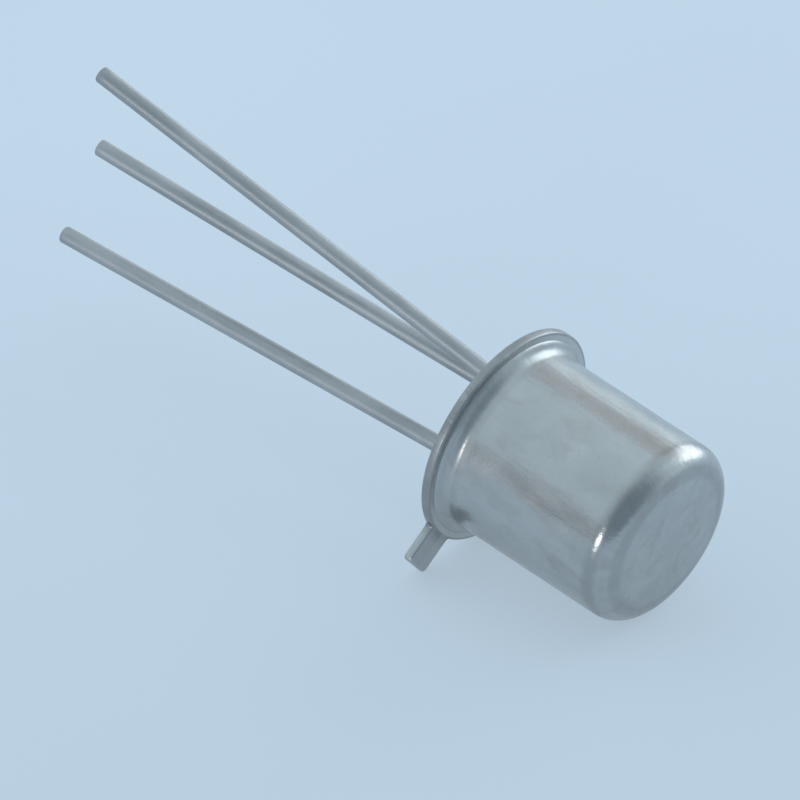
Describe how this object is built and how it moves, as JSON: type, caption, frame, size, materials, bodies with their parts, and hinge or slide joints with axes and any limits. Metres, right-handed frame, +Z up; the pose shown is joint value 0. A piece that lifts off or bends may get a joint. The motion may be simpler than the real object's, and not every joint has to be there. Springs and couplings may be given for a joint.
{
  "type": "junction field-effect transistor",
  "caption": "Junction field-effect transistor in a drawn metal can welded to a glass-sealed header with a locating tab and long wire leads; switches or amplifies small signals.",
  "frame": {"origin": "on the surface that the transistor lies on, under the centre of its bounding box", "axes": "+Z up from that surface, +X along the horizontal run of the can's axis towards the can's closed end; the leads run towards -X and the locating tab points down towards -Y"},
  "size_m": [0.0184, 0.0058, 0.0073],
  "materials": {
    "can_nickel": "satin nickel, tumbled, with faint stains and scuffs",
    "header_nickel": "satin nickel plate on stamped sheet, darker at the sheared edge",
    "lead_wire": "drawn wire, dull nickel plate with fine lengthwise lines",
    "sealing_glass": "dark grey-blue fired sealing glass, smooth",
    "silicon": "polished silicon",
    "gold": "bright gold"
  },
  "bodies": {
    "root": {"can": "can_nickel", "header_eyelet": "header_nickel", "glass_seal": "sealing_glass", "source_lead": "lead_wire", "drain_lead": "lead_wire", "gate_lead": "lead_wire", "die_attach": "gold", "die": "silicon", "source_bond_wire": "gold", "drain_bond_wire": "gold"}
  },
  "joints": []
}
